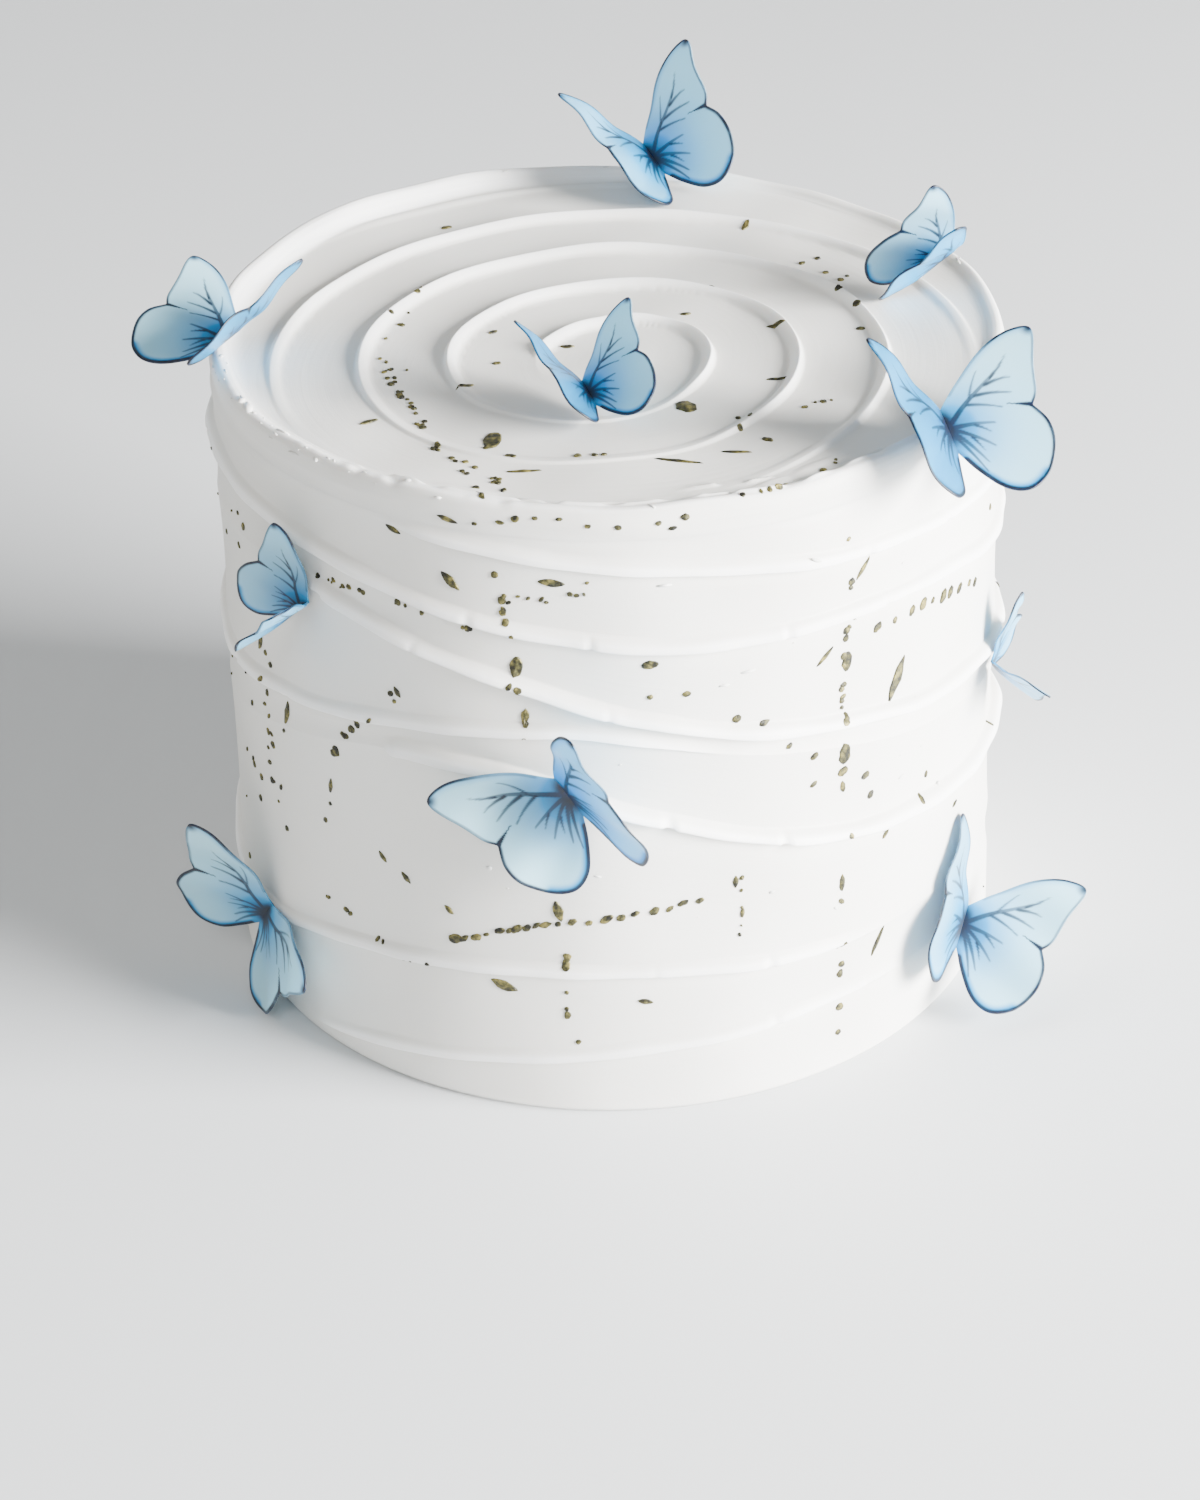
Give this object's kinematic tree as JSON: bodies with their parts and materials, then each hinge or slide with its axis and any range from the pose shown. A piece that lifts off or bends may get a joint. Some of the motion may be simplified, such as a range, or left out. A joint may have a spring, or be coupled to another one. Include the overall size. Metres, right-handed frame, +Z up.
{
  "type": "butterfly cake",
  "caption": "Tall round frosted cake with knife ridges round the side, a swirled top, gold leaf flecks and folded pale blue wafer-paper butterflies.",
  "frame": {"origin": "centre of the cake's flat bottom", "axes": "+Z up, -Y towards the front of the cake"},
  "size_m": [0.1944, 0.1876, 0.1642],
  "materials": {
    "icing": "satin",
    "wafer_paper": "satin"
  },
  "bodies": {
    "root": {"cake": "icing", "butterfly_top_centre": "wafer_paper", "butterfly_back_rim": "wafer_paper", "butterfly_back_right": "wafer_paper", "butterfly_right_rim": "wafer_paper", "butterfly_left_rim": "wafer_paper", "butterfly_left_side": "wafer_paper", "butterfly_centre": "wafer_paper", "butterfly_low_left": "wafer_paper", "butterfly_low_right": "wafer_paper", "butterfly_right_side": "wafer_paper"}
  },
  "joints": []
}
